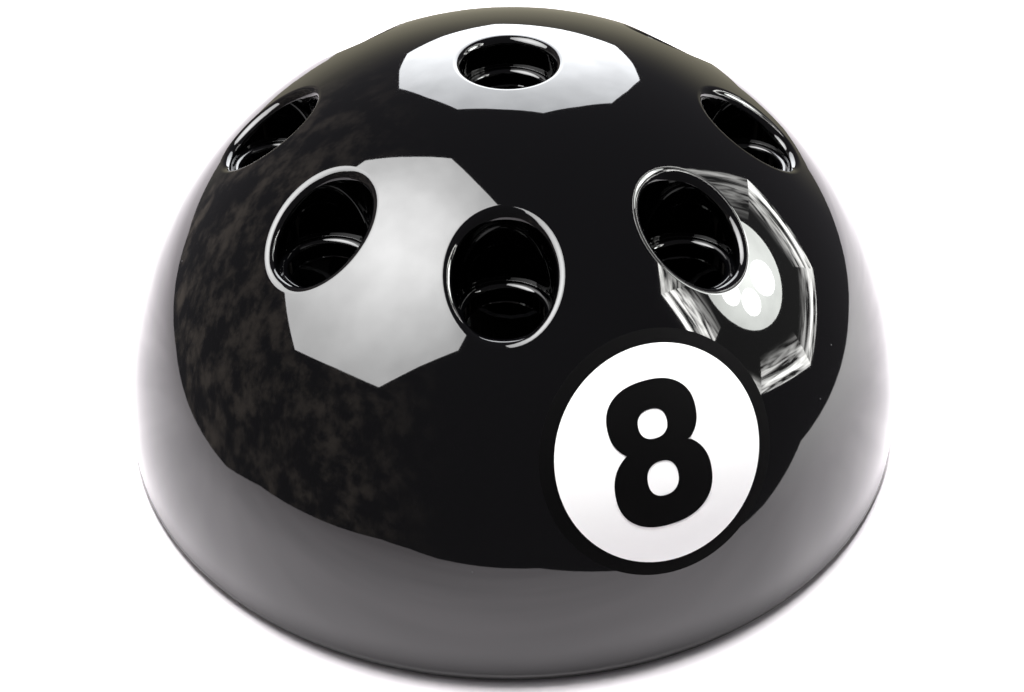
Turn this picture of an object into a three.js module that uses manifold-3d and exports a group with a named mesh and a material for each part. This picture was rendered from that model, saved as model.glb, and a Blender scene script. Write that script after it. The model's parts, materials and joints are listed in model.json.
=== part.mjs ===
// Floor stand for pool cues and umbrellas, in the shape of the top half of an eight ball.
//
// A moulded half dome has nine stepped sockets: eight on a ring and one at the pole. It is closed from
// below by a round board, which carries one cup with a rubber pad under each socket and stands on six
// rubber feet. Three layers of vinyl on the front make the numbered spot.
//
// Millimetres, +Z up. The origin is on the floor, under the pole. The front of the stand faces -Y.
import * as THREE from 'three';
import { mergeVertices } from 'three/addons/utils/BufferGeometryUtils.js';
import Module from 'manifold-3d';

const wasm = await Module();
wasm.setup();

// Dome: the upper half of a ball, cut off a little above its centre. The centre's height is from the floor,
// and every other height of the dome and its sockets is above the centre
const DOME_RADIUS = 200;
const CENTER_HEIGHT = -2;
const RIM = 4;
const WALL = 3;
const BEAD_PROUD = 0.5;
const BEAD_HEIGHT = 3.6;

// Sockets
const RING_COUNT = 8;
const RING_RADIUS = 112;
const BORE_RADIUS = 21.75;
const LIP_RADIUS = 3.5;
const THROAT_RADIUS = 17.5;
const RING_SHOULDER = 142.5;
const RING_THROAT_END = 132.5;
const POLE_SHOULDER = 184;
const POLE_THROAT_END = 175;
const SHOULDER_ROUND = 1.8;

// The moulding is one piece, but it is modelled as a cap, eight panels and a skirt, so that no solid bends
// round more than one socket. They part on these two circles, seen from above, and on radii between sockets
const CAP_CIRCLE = 56;
const SKIRT_CIRCLE = 150;

// Board, and the gap kept between neighbouring pieces
const FOOT_HEIGHT = 6;
const BOARD_THICKNESS = 10;
const BOARD_RADIUS = 195.8;
const GAP = 0.3;

// Cups and pads
const CUP_HEIGHT = 46;
const CUP_MOUTH_RADIUS = 22;
const CUP_FOOT_RADIUS = 20;
const CUP_WALL = 2.6;
const CUP_FLOOR = 3;
const FLANGE_RADIUS = 27;
const FLANGE_THICKNESS = 2.6;
const SPIGOT_RADIUS = 10;
const SPIGOT_LENGTH = 7;
const PAD_RADIUS = 16.4;
const PAD_THICKNESS = 3;

// Screw posts under the dome, and their screws
const POST_COUNT = 8;
const POST_CIRCLE = 178;
const POST_RADIUS = 6;
const SHANK_RADIUS = 2;
const HEAD_RADIUS = 4.4;
const HEAD_HEIGHT = 2.4;
const BASE_SCREW_LENGTH = 24;
const FOOT_SCREW_LENGTH = 12;

// Feet
const FOOT_COUNT = 6;
const FOOT_CIRCLE = 150;
const FOOT_RADIUS = 14;
const FOOT_RECESS = 3.2;

// Numbered spot: where its middle is on the dome, and its layers, measured along the surface
const SPOT_AZIMUTH = 23;
const SPOT_ELEVATION = 30.6;
const BACKING_RADIUS = 53.8;
const DISC_RADIUS = 47.5;
const VINYL_THICKNESS = 0.2;
const NUMERAL_SHIFT = -1.8;
const LOBE_POWER = 2.3;
const COUNTER_SHIFT = -2.3;
const UPPER_LOBE = { y: 16.65, halfWidth: 20.3, halfHeight: 16.35 };
const LOWER_LOBE = { y: -11.5, halfWidth: 22.4, halfHeight: 19 };
const UPPER_COUNTER = { y: 14.6, halfWidth: 6.6, halfHeight: 6.3 };
const LOWER_COUNTER = { y: -9.3, halfWidth: 7.1, halfHeight: 7.6 };

// Fineness of the turned shapes
const DOME_SEGMENTS = 48;
const DOME_RINGS = 12;
const SOCKET_SEGMENTS = 20;
const CUP_SEGMENTS = 16;
const SCREW_SEGMENTS = 10;
const LOBE_STEPS = 28;
const FINE = 0.02;

const BOARD_BOTTOM = FOOT_HEIGHT + GAP;
const BOARD_TOP = BOARD_BOTTOM + BOARD_THICKNESS;
const PI = Math.PI;
const degrees = PI / 180;

// ---- Helpers ----------------------------------------------------------------------------------------

function point(r, z) {
  return new THREE.Vector2(r, z);
}

// Points of an arc about (r, z), from one angle to another, in degrees
function arc(r, z, radius, from, to, steps) {
  const points = [];
  for (let i = 0; i <= steps; i += 1) {
    const angle = (from + ((to - from) * i) / steps) * degrees;
    points.push(point(r + radius * Math.cos(angle), z + radius * Math.sin(angle)));
  }
  return points;
}

// A shape turned about the Z axis, from a profile that runs upwards
function turned(profile, segments) {
  const geometry = new THREE.LatheGeometry(profile, segments);
  geometry.rotateX(PI / 2);
  return geometry;
}

function toSolid(geometry) {
  const bare = geometry.clone();
  bare.deleteAttribute('normal');
  bare.deleteAttribute('uv');
  const merged = mergeVertices(bare, 1e-4);
  const vertProperties = new Float32Array(merged.attributes.position.array);
  const indices = Array.from(merged.index.array);
  const triVerts = [];
  for (let i = 0; i < indices.length; i += 3) {
    const [a, b, c] = indices.slice(i, i + 3);
    if (a !== b && b !== c && c !== a) triVerts.push(a, b, c);
  }
  return new wasm.Manifold(new wasm.Mesh({ numProp: 3, vertProperties, triVerts: new Uint32Array(triVerts) }));
}

function toGeometry(solid) {
  const mesh = solid.getMesh();
  const geometry = new THREE.BufferGeometry();
  geometry.setAttribute('position', new THREE.BufferAttribute(new Float32Array(mesh.vertProperties), 3));
  geometry.setIndex(Array.from(mesh.triVerts));
  geometry.computeVertexNormals();
  return geometry;
}

function joined(solids) {
  return solids.reduce((sum, solid) => sum.add(solid));
}

// The azimuth is measured from the front, -Y, towards +X
function around(count, radius, firstAzimuth) {
  const places = [];
  for (let i = 0; i < count; i += 1) {
    const azimuth = (firstAzimuth + (360 / count) * i) * degrees;
    places.push({ azimuth, x: radius * Math.sin(azimuth), y: -radius * Math.cos(azimuth) });
  }
  return places;
}

// ---- Places -----------------------------------------------------------------------------------------

const ringSockets = around(RING_COUNT, RING_RADIUS, 0).map((place, i) => ({
  ...place,
  name: `${i + 1}`,
  ring: RING_RADIUS,
  shoulder: RING_SHOULDER,
  throatEnd: RING_THROAT_END,
}));
const poleSocket = {
  azimuth: 0,
  x: 0,
  y: 0,
  name: 'center',
  ring: 0,
  shoulder: POLE_SHOULDER,
  throatEnd: POLE_THROAT_END,
};
const sockets = [...ringSockets, poleSocket];
const posts = around(POST_COUNT, POST_CIRCLE, 180 / POST_COUNT);
const feet = around(FOOT_COUNT, FOOT_CIRCLE, 0);

// ---- Materials --------------------------------------------------------------------------------------

function material(color, roughness, metalness) {
  return new THREE.MeshStandardMaterial({ color, roughness, metalness });
}

const blackGloss = material(0x070708, 0.06, 0);
const blackVinyl = material(0x050505, 0.35, 0);
const whiteVinyl = material(0xf2f2f0, 0.35, 0);
const blackBoard = material(0x1b1a19, 0.75, 0);
const greyPlastic = material(0x17181a, 0.45, 0);
const rubber = material(0x121212, 0.85, 0);
const zincSteel = material(0xa8abad, 0.35, 1);

// ---- Dome -------------------------------------------------------------------------------------------

// The part of a ball above the rim
function ballCap(radius) {
  const lowest = Math.asin(RIM / radius) / degrees;
  const profile = [point(0, RIM), ...arc(0, 0, radius, lowest, 90, DOME_RINGS)];
  profile[profile.length - 1] = point(0, radius);
  return toSolid(turned(profile, DOME_SEGMENTS));
}

// The rolled bead on the outside of the rim
function rimBead() {
  const inside = DOME_RADIUS - WALL / 2;
  const proud = DOME_RADIUS + BEAD_PROUD;
  const profile = [
    point(inside, RIM),
    point(DOME_RADIUS, RIM),
    point(proud, RIM + BEAD_HEIGHT * 0.25),
    point(proud, RIM + BEAD_HEIGHT * 0.65),
    point(DOME_RADIUS - WALL * 0.06, RIM + BEAD_HEIGHT),
    point(inside, RIM + BEAD_HEIGHT),
    point(inside, RIM),
  ];
  return toSolid(turned(profile, DOME_SEGMENTS));
}

// Outside of one socket, up to well above the dome
function socketBody(socket) {
  const throatOutside = THROAT_RADIUS + WALL;
  const boreOutside = BORE_RADIUS + WALL;
  const profile = [
    point(0, socket.throatEnd),
    point(throatOutside, socket.throatEnd),
    point(throatOutside, socket.shoulder - WALL - SHOULDER_ROUND),
    point(boreOutside, socket.shoulder - WALL + SHOULDER_ROUND),
    point(boreOutside, DOME_RADIUS * 1.1),
    point(0, DOME_RADIUS * 1.1),
  ];
  return toSolid(turned(profile, SOCKET_SEGMENTS)).translate([socket.x, socket.y, 0]);
}

// Space inside one socket: the throat, its rounded shoulder and the bore
function socketSpace(socket) {
  const { shoulder, throatEnd } = socket;
  const profile = [
    point(0, throatEnd - WALL),
    point(THROAT_RADIUS, throatEnd - WALL),
    ...arc(THROAT_RADIUS + SHOULDER_ROUND, shoulder - SHOULDER_ROUND, SHOULDER_ROUND, 180, 90, 2),
    point(BORE_RADIUS, shoulder + SHOULDER_ROUND / 2),
    point(BORE_RADIUS, DOME_RADIUS * 1.2),
    point(0, DOME_RADIUS * 1.2),
  ];
  return toSolid(turned(profile, SOCKET_SEGMENTS)).translate([socket.x, socket.y, 0]);
}

// Space that a rolled lip leaves at one mouth: a flare about the bore, sheared so that it lies along the
// dome's tangent plane, and lowered by the dome's mean fall from that plane at the edge of the lip
function lipSpace(socket) {
  const edge = BORE_RADIUS + LIP_RADIUS;
  const profile = [
    point(0, -LIP_RADIUS),
    ...arc(edge, -LIP_RADIUS, LIP_RADIUS, 180, 90, 2),
    point(edge + LIP_RADIUS, LIP_RADIUS),
    point(0, LIP_RADIUS),
  ];
  const surface = Math.sqrt(DOME_RADIUS ** 2 - socket.ring ** 2);
  const slope = -socket.ring / surface;
  const fall = ((edge * edge) / (4 * surface)) * (2 + slope * slope);
  const geometry = turned(profile, SOCKET_SEGMENTS);
  const outwardX = Math.sin(socket.azimuth);
  const outwardY = -Math.cos(socket.azimuth);
  const shear = new THREE.Matrix4().set(
    1, 0, 0, socket.x,
    0, 1, 0, socket.y,
    slope * outwardX, slope * outwardY, 1, surface - fall,
    0, 0, 0, 1,
  );
  geometry.applyMatrix4(shear);
  return toSolid(geometry);
}

function rod(radius, from, to, segments) {
  const profile = [point(0, from), point(radius, from), point(radius, to), point(0, to)];
  return toSolid(turned(profile, segments));
}

function domeMoulding() {
  const ball = ballCap(DOME_RADIUS);
  const hollow = ballCap(DOME_RADIUS - WALL).translate([0, 0, -0.01]);
  const postBottom = BOARD_TOP + GAP - CENTER_HEIGHT;
  const post = rod(POST_RADIUS, postBottom, DOME_RADIUS / 2, SCREW_SEGMENTS);
  const pilotTop = postBottom + BASE_SCREW_LENGTH - BOARD_THICKNESS + HEAD_HEIGHT;
  const pilot = rod(SHANK_RADIUS + GAP, postBottom - 1, pilotTop, SCREW_SEGMENTS);
  const inner = joined([
    ...sockets.map(socketBody),
    ...posts.map((place) => post.translate([place.x, place.y, 0])),
  ]);
  const spaces = joined([
    ...sockets.map(socketSpace),
    ...sockets.map(lipSpace),
    ...posts.map((place) => pilot.translate([place.x, place.y, 0])),
  ]);
  const midWall = ballCap(DOME_RADIUS - WALL / 2);
  const moulding = ball.subtract(hollow).add(inner.intersect(midWall)).add(rimBead());
  return moulding.subtract(spaces).asOriginal().simplify(FINE);
}

// A prism over the wedge, seen from above, that holds the socket at the given azimuth
function wedge(azimuth) {
  const reach = DOME_RADIUS;
  const halfAngle = PI / RING_COUNT;
  const tip = GAP / 2 / Math.sin(halfAngle);
  const shape = new THREE.Shape([
    point(tip, 0),
    point(tip + reach * Math.cos(halfAngle), -reach * Math.sin(halfAngle)),
    point(tip + reach * Math.cos(halfAngle), reach * Math.sin(halfAngle)),
  ]);
  const geometry = new THREE.ExtrudeGeometry(shape, { depth: DOME_RADIUS * 1.1, bevelEnabled: false });
  geometry.rotateZ(azimuth - PI / 2);
  return toSolid(geometry);
}

function domePieces() {
  const moulding = domeMoulding();
  const within = (radius) => rod(radius, -1, DOME_RADIUS * 1.1, DOME_SEGMENTS);
  const ring = moulding
    .intersect(within(SKIRT_CIRCLE - GAP / 2))
    .subtract(within(CAP_CIRCLE + GAP / 2));
  const pieces = {
    dome_cap: moulding.intersect(within(CAP_CIRCLE - GAP / 2)),
    dome_skirt: moulding.subtract(within(SKIRT_CIRCLE + GAP / 2)),
  };
  for (const { name, azimuth } of ringSockets) {
    pieces[`dome_panel_${name}`] = ring.intersect(wedge(azimuth));
  }
  return pieces;
}

// ---- Board, cups and pads ---------------------------------------------------------------------------

function basePlate() {
  const chamfer = 1;
  const profile = [
    point(0, BOARD_BOTTOM),
    point(BOARD_RADIUS - chamfer, BOARD_BOTTOM),
    point(BOARD_RADIUS, BOARD_BOTTOM + chamfer),
    point(BOARD_RADIUS, BOARD_TOP - chamfer),
    point(BOARD_RADIUS - chamfer, BOARD_TOP),
    point(0, BOARD_TOP),
  ];
  const board = toSolid(turned(profile, DOME_SEGMENTS));
  const below = BOARD_BOTTOM - 1;
  const above = BOARD_TOP + 1;
  const spigotHole = rod(SPIGOT_RADIUS + GAP, below, above, CUP_SEGMENTS);
  const screwHole = rod(SHANK_RADIUS + GAP, below, above, SCREW_SEGMENTS);
  const headHole = rod(HEAD_RADIUS + GAP, below, BOARD_BOTTOM + HEAD_HEIGHT + 2 * GAP, SCREW_SEGMENTS);
  const holes = [
    ...sockets.map((socket) => spigotHole.translate([socket.x, socket.y, 0])),
    ...[...posts, ...feet].map((place) => screwHole.translate([place.x, place.y, 0])),
    ...posts.map((place) => headHole.translate([place.x, place.y, 0])),
  ];
  return toGeometry(board.subtract(joined(holes)));
}

// A cup with a flange, which stands on the board, and a spigot below, which sits in the board's hole
function tipCup() {
  const floor = BOARD_TOP + GAP;
  const top = floor + CUP_HEIGHT;
  const profile = [
    point(0, floor - SPIGOT_LENGTH),
    point(SPIGOT_RADIUS, floor - SPIGOT_LENGTH),
    point(SPIGOT_RADIUS, floor),
    point(FLANGE_RADIUS, floor),
    point(FLANGE_RADIUS, floor + FLANGE_THICKNESS),
    point(CUP_FOOT_RADIUS + 1, floor + FLANGE_THICKNESS),
    point(CUP_MOUTH_RADIUS, top),
    point(CUP_MOUTH_RADIUS - CUP_WALL, top),
    point(CUP_FOOT_RADIUS - CUP_WALL, floor + CUP_FLOOR),
    point(0, floor + CUP_FLOOR),
  ];
  return turned(profile, CUP_SEGMENTS);
}

function tipPad() {
  const bottom = BOARD_TOP + GAP + CUP_FLOOR + GAP;
  const profile = [
    point(0, bottom),
    point(PAD_RADIUS, bottom),
    point(PAD_RADIUS, bottom + PAD_THICKNESS),
    point(0, bottom + PAD_THICKNESS),
  ];
  return turned(profile, CUP_SEGMENTS);
}

// ---- Feet and screws --------------------------------------------------------------------------------

// A pan-head screw that points up, with the underside of its head at z
function screw(z, length) {
  const profile = [
    point(0, z - HEAD_HEIGHT),
    point(HEAD_RADIUS - 0.8, z - HEAD_HEIGHT),
    point(HEAD_RADIUS, z - HEAD_HEIGHT + 0.9),
    point(HEAD_RADIUS, z),
    point(SHANK_RADIUS, z),
    point(SHANK_RADIUS, z + length - 3),
    point(0, z + length),
  ];
  return turned(profile, SCREW_SEGMENTS);
}

function rubberFoot() {
  const recess = HEAD_RADIUS + 1;
  const hole = SHANK_RADIUS + GAP;
  const profile = [
    point(hole, FOOT_RECESS),
    point(recess, FOOT_RECESS),
    point(recess, 0),
    point(FOOT_RADIUS - 1.5, 0),
    point(FOOT_RADIUS - 0.8, 0.8),
    point(FOOT_RADIUS, FOOT_HEIGHT),
    point(hole, FOOT_HEIGHT),
    point(hole, FOOT_RECESS),
  ];
  return turned(profile, CUP_SEGMENTS);
}

// ---- Numbered spot ----------------------------------------------------------------------------------

// Closed outline of a rounded box, narrower towards its corners as the power falls to 2, an ellipse
function lobeShape({ x = 0, y = 0, halfWidth, halfHeight }, power, steps) {
  const outline = [];
  for (let i = 0; i < steps; i += 1) {
    const angle = (2 * PI * i) / steps;
    const c = Math.cos(angle);
    const s = Math.sin(angle);
    const px = Math.sign(c) * Math.abs(c) ** (2 / power) * halfWidth;
    const py = Math.sign(s) * Math.abs(s) ** (2 / power) * halfHeight;
    outline.push(point(x + px, y + py));
  }
  return new THREE.Shape(outline);
}

// A shape drawn on the dome: its plan, seen along the spot's own axis, shrinks as the surface falls away
function stamp(lobe, power = 2, steps = 2 * LOBE_STEPS) {
  const depth = DOME_RADIUS / 2;
  const geometry = new THREE.ExtrudeGeometry(lobeShape(lobe, power, steps), { depth, bevelEnabled: false });
  const positions = geometry.attributes.position;
  for (let i = 0; i < positions.count; i += 1) {
    const x = positions.getX(i);
    const y = positions.getY(i);
    const reach = Math.hypot(x, y);
    const plan = DOME_RADIUS * Math.sin(reach / DOME_RADIUS);
    const scale = reach > 0 ? plan / reach : 1;
    positions.setXY(i, x * scale, y * scale);
  }
  geometry.translate(0, 0, DOME_RADIUS - depth * 0.75);
  geometry.rotateX(PI / 2 - SPOT_ELEVATION * degrees);
  geometry.rotateZ(SPOT_AZIMUTH * degrees);
  return toSolid(geometry);
}

// One layer of vinyl: the stamp, cut from a thin skin that keeps the gap to the layer below it
function vinyl(layer, outline) {
  const inside = DOME_RADIUS + GAP + layer * (VINYL_THICKNESS + GAP);
  const skin = ballCap(inside + VINYL_THICKNESS).subtract(ballCap(inside).translate([0, 0, -0.01]));
  return toGeometry(skin.intersect(outline));
}

function circle(radius) {
  return { halfWidth: radius, halfHeight: radius };
}

function figureEight() {
  const shifted = (lobe, x) => stamp({ ...lobe, x }, LOBE_POWER, LOBE_STEPS);
  return shifted(UPPER_LOBE, NUMERAL_SHIFT)
    .add(shifted(LOWER_LOBE, NUMERAL_SHIFT))
    .subtract(shifted(UPPER_COUNTER, COUNTER_SHIFT))
    .subtract(shifted(LOWER_COUNTER, COUNTER_SHIFT));
}

// ---- Assembly ---------------------------------------------------------------------------------------

const stand = new THREE.Group();

function place(name, geometry, look, x = 0, y = 0, z = 0) {
  const mesh = new THREE.Mesh(geometry, look);
  mesh.name = name;
  mesh.position.set(x, y, z);
  stand.add(mesh);
}

for (const [name, solid] of Object.entries(domePieces())) {
  place(name, toGeometry(solid), blackGloss, 0, 0, CENTER_HEIGHT);
}
place('decal_backing', vinyl(0, stamp(circle(BACKING_RADIUS))), blackVinyl, 0, 0, CENTER_HEIGHT);
place('decal_disc', vinyl(1, stamp(circle(DISC_RADIUS))), whiteVinyl, 0, 0, CENTER_HEIGHT);
place('decal_numeral', vinyl(2, figureEight()), blackVinyl, 0, 0, CENTER_HEIGHT);
place('base_plate', basePlate(), blackBoard);

for (const socket of sockets) {
  place(`tip_cup_${socket.name}`, tipCup(), greyPlastic, socket.x, socket.y);
  place(`tip_pad_${socket.name}`, tipPad(), rubber, socket.x, socket.y);
}
posts.forEach(({ x, y }, i) => {
  const underHead = BOARD_BOTTOM + HEAD_HEIGHT + GAP;
  place(`base_screw_${i + 1}`, screw(underHead, BASE_SCREW_LENGTH), zincSteel, x, y);
});
feet.forEach(({ x, y }, i) => {
  const underHead = FOOT_RECESS - GAP;
  place(`foot_${i + 1}`, rubberFoot(), rubber, x, y);
  place(`foot_screw_${i + 1}`, screw(underHead, FOOT_SCREW_LENGTH), zincSteel, x, y);
});

export default stand;
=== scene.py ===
"""Looks of the half eight-ball stand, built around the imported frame.

Metres, +Z up, the front towards -Y. Azimuths are measured from the front towards +X. Most shapes are grown
from profiles and loops whose exact normals are kept, because high gloss shows every error in a normal.
"""

import json
import math

import bmesh
import bpy
from mathutils import Matrix, Vector
from mathutils.geometry import delaunay_2d_cdt

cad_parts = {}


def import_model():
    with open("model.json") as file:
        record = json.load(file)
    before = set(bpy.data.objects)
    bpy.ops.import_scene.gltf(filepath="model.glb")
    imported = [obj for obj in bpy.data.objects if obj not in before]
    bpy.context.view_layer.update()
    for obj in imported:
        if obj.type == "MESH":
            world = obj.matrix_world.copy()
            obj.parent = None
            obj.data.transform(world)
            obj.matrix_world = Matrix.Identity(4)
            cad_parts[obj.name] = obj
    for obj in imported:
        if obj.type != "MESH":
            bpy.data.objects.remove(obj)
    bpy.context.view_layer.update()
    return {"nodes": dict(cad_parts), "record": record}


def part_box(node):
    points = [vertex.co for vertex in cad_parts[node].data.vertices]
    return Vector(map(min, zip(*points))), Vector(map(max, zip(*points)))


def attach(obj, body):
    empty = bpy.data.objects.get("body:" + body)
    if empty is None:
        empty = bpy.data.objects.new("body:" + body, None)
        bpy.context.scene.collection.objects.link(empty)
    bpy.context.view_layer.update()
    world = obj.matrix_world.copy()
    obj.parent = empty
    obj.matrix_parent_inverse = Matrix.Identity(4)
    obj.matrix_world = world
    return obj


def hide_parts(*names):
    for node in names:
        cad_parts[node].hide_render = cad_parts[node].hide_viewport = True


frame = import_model()

MM = 0.001
TAU = 2 * math.pi

# ---- Sizes ----------------------------------------------------------------------------------------------

# The ball's radius and centre come from the frame. Heights in the dome are measured from the centre.
BEAD_PROUD = 0.5 * MM
WALL = 3.0 * MM
RIM = 4.0 * MM
RIM_INSIDE = 3.0 * MM
skirt_low, skirt_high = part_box("dome_skirt")
CENTRE_Z = skirt_low.z - RIM
BALL = skirt_high.x - BEAD_PROUD

RING_COUNT = 8
FOOT_COUNT = 6
BORE = 21.75 * MM
LIP = 3.5 * MM
LIP_DROP = 1.5 * MM
LIP_SWELL = 0.45
THROAT = 17.5 * MM
RING_SHOULDER = 142.5 * MM
RING_THROAT_END = 132.5 * MM
POLE_SHOULDER = 184 * MM
POLE_THROAT_END = 175 * MM
BURR = 0.35 * MM
GUTTER = 0.8 * MM
POST_CIRCLE = 178 * MM
POST_RADIUS = 6 * MM
POST_BORE = 2.1 * MM
POST_BORE_DEPTH = 22 * MM
POST_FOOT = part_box("base_plate")[1].z + 0.3 * MM

SPOT_AZIMUTH = math.radians(23)
SPOT_ELEVATION = math.radians(30.6)
BACKING_RADIUS = 53.8 * MM
DISC_RADIUS = 47.5 * MM
FILM = 0.14 * MM


def middle(node):
    """The middle of a node's box."""
    low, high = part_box(node)
    return (low + high) / 2


def heading(azimuth, elevation):
    """The unit direction at an azimuth and an elevation."""
    flat = math.cos(elevation)
    return Vector((math.sin(azimuth) * flat, -math.cos(azimuth) * flat, math.sin(elevation)))


def stands_on(node):
    """The middle of the underside of a node's box."""
    place = middle(node)
    place.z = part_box(node)[0].z
    return place


# ---- Meshes that keep their exact normals ---------------------------------------------------------------


class Skin:
    """A mesh under construction: points with their normals, and faces. Points that coincide are shared."""

    def __init__(self):
        self.points = []
        self.normals = []
        self.faces = []
        self.places = {}

    def point(self, place, normal):
        key = tuple(round(c * 1e8) for c in place)
        if key not in self.places:
            self.places[key] = len(self.points)
            self.points.append(tuple(place))
            self.normals.append(tuple(normal))
        return self.places[key]

    def face(self, corners):
        unlike = []
        for corner in corners:
            if corner not in unlike:
                unlike.append(corner)
        if len(unlike) > 2:
            self.faces.append(unlike)

    def patch(self, rows):
        """Faces between closed rows of (place, normal). A row of one point ends the patch with a fan."""
        marks = [[self.point(*p) for p in row] for row in rows]
        for near, far in zip(marks, marks[1:]):
            count = max(len(near), len(far))
            for i in range(count):
                j = (i + 1) % count
                quad = (near[i % len(near)], near[j % len(near)], far[j % len(far)], far[i % len(far)])
                self.face(quad)

    def build(self, name, crease=None):
        """The finished object, with its exact normals, or with its faces' own up to a crease angle."""
        mesh = bpy.data.meshes.new(name)
        mesh.from_pydata(self.points, [], self.faces)
        mesh.validate()
        turn_outwards(mesh)
        mesh.shade_smooth()
        if crease is None:
            mesh.normals_split_custom_set_from_vertices(self.normals)
        else:
            mesh.set_sharp_from_angle(angle=math.radians(crease))
        piece = bpy.data.objects.new(name, mesh)
        bpy.context.scene.collection.objects.link(piece)
        return piece


def turn_outwards(mesh):
    work = bmesh.new()
    work.from_mesh(mesh)
    bmesh.ops.recalc_face_normals(work, faces=work.faces)
    work.to_mesh(mesh)
    work.free()


def soft_profile(corners, steps):
    """A profile of straight runs and round corners, as (r, z, normal r, normal z).

    Each corner is (r, z, radius of its rounding). The outside lies to the right of the direction of travel.
    """
    out = []
    last = len(corners) - 1
    for i, (r, z, radius) in enumerate(corners):
        here = Vector((r, z))
        into = (here - Vector(corners[i - 1][:2])).normalized() if i > 0 else None
        away = (Vector(corners[i + 1][:2]) - here).normalized() if i < last else None
        if into is None or away is None or radius == 0:
            for way in (into, away):
                if way is not None:
                    out.append((r, z, way.y, -way.x))
            continue
        turn = into.angle(away)
        reach = radius * math.tan(turn / 2)
        start = here - into * reach
        side = 1 if into.x * away.y - into.y * away.x > 0 else -1
        centre = start + Vector((-into.y, into.x)) * radius * side
        for k in range(steps + 1):
            spin = Matrix.Rotation(side * turn * k / steps, 2)
            spoke = spin @ (start - centre)
            normal = spoke.normalized() * side
            place = centre + spoke
            out.append((place.x, place.y, normal.x, normal.y))
    return out


def turned_rows(profile, count, centre=(0, 0, 0)):
    """Rows of a shape turned about a vertical axis through the centre, with `count` points round it."""
    rows = []
    for r, z, nr, nz in profile:
        if abs(r) < 1e-9:
            rows.append([((centre[0], centre[1], centre[2] + z), (0, 0, 1 if nz > 0 else -1))])
            continue
        row = []
        for m in range(count):
            x, y = SPOKES[count][m]
            row.append(((centre[0] + r * x, centre[1] + r * y, centre[2] + z), (nr * x, nr * y, nz)))
        rows.append(row)
    return rows


def spokes(count):
    return [(math.sin(TAU * m / count), -math.cos(TAU * m / count)) for m in range(count)]


SPOKES = {count: spokes(count) for count in (24, 48, 96, 128)}


# ---- Dome -----------------------------------------------------------------------------------------------

AROUND = 128
PER_SECTOR = AROUND // RING_COUNT
PER_MOUTH = 4 * PER_SECTOR
INNER_POLAR = math.radians(15)
OUTER_POLAR = math.radians(54)
SOCKET_CENTRES = [middle(f"tip_cup_{i + 1}") for i in range(RING_COUNT)]


def ball_point(radius, polar, spoke):
    """Place and normal on a ball about the dome's centre. The spoke counts round the dome."""
    x, y = SPOKES[AROUND][spoke % AROUND]
    normal = Vector((math.sin(polar) * x, math.sin(polar) * y, math.cos(polar)))
    return normal * radius, normal


def sector_edge(radius, index):
    """The loop round a sector, from its outer corner at the lower azimuth, as the mouth's loop runs."""
    first = index * PER_SECTOR - PER_SECTOR // 2
    shares = [k / PER_SECTOR for k in range(PER_SECTOR)]
    loop = [ball_point(radius, OUTER_POLAR, first + k) for k in range(PER_SECTOR)]
    fall = INNER_POLAR - OUTER_POLAR
    loop += [ball_point(radius, OUTER_POLAR + fall * s, first + PER_SECTOR) for s in shares]
    loop += [ball_point(radius, INNER_POLAR, first + PER_SECTOR - k) for k in range(PER_SECTOR)]
    loop += [ball_point(radius, INNER_POLAR - fall * s, first) for s in shares]
    return loop


def mouth_directions(index):
    """Unit directions from a socket's axis, in step with sector_edge()."""
    azimuth = TAU * index / RING_COUNT
    out = Vector((math.sin(azimuth), -math.cos(azimuth), 0))
    side = Vector((math.cos(azimuth), math.sin(azimuth), 0))
    angles = [TAU * (k / PER_MOUTH - 1 / 8) for k in range(PER_MOUTH)]
    return [out * math.cos(a) + side * math.sin(a) for a in angles]


def pole_directions():
    return [Vector((x, y, 0)) for x, y in SPOKES[AROUND]]


def soft_max(a, b, softness):
    """The larger of two lengths, with a gradual change from one to the other."""
    return (a + b + math.sqrt((a - b) ** 2 + softness**2)) / 2


def lip_bends(axis, directions, shoulder, drop):
    """Where the rolled lip leaves the dome and meets the bore, for each direction from the socket's axis.

    A small ball that rolls inside the wall gives both places. Uphill it grows, and the lip runs further
    down the bore by `drop`, but never to the shoulder.
    """
    bends = []
    for way in directions:
        uphill = (1 - way.dot(axis.normalized())) / 2 if drop > 0 else 0
        lip = LIP * (1 + LIP_SWELL * uphill**2)
        centre = axis + way * (BORE + lip)
        centre.z = math.sqrt((BALL - lip) ** 2 - centre.x**2 - centre.y**2)
        start = centre.normalized()
        on_dome = centre + start * lip
        on_bore = centre - way * lip
        on_bore.z = soft_max(on_bore.z - drop * uphill**8, shoulder + 0.6 * MM, 0.8 * MM)
        along = (-way - start * start.dot(-way)).normalized()
        knee = on_dome + along * lip * math.tan(start.angle(-way) / 2)
        bends.append((on_dome, knee, on_bore, start, -way))
    return bends


def lip_rows(bends, steps=12):
    """The lip as a conic for each of its bends, with normals from the neighbouring points."""
    grid = []
    for k in range(steps + 1):
        t = k / steps
        line = []
        for on_dome, knee, on_bore, start, end in bends:
            weight = math.cos(start.angle(end) / 2)
            shares = ((1 - t) ** 2, 2 * weight * t * (1 - t), t**2)
            line.append((on_dome * shares[0] + knee * shares[1] + on_bore * shares[2]) / sum(shares))
        grid.append(line)
    rows = []
    count = len(bends)
    for k, line in enumerate(grid):
        row = []
        for m, place in enumerate(line):
            start, end = bends[m][3:]
            if k in (0, steps):
                normal = start if k == 0 else end
            else:
                down = grid[k + 1][m] - grid[k - 1][m]
                round_it = line[(m + 1) % count] - line[m - 1]
                normal = down.cross(round_it).normalized()
                normal *= math.copysign(1, normal.dot(start + end))
            row.append((place, normal))
        rows.append(row)
    return rows


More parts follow.
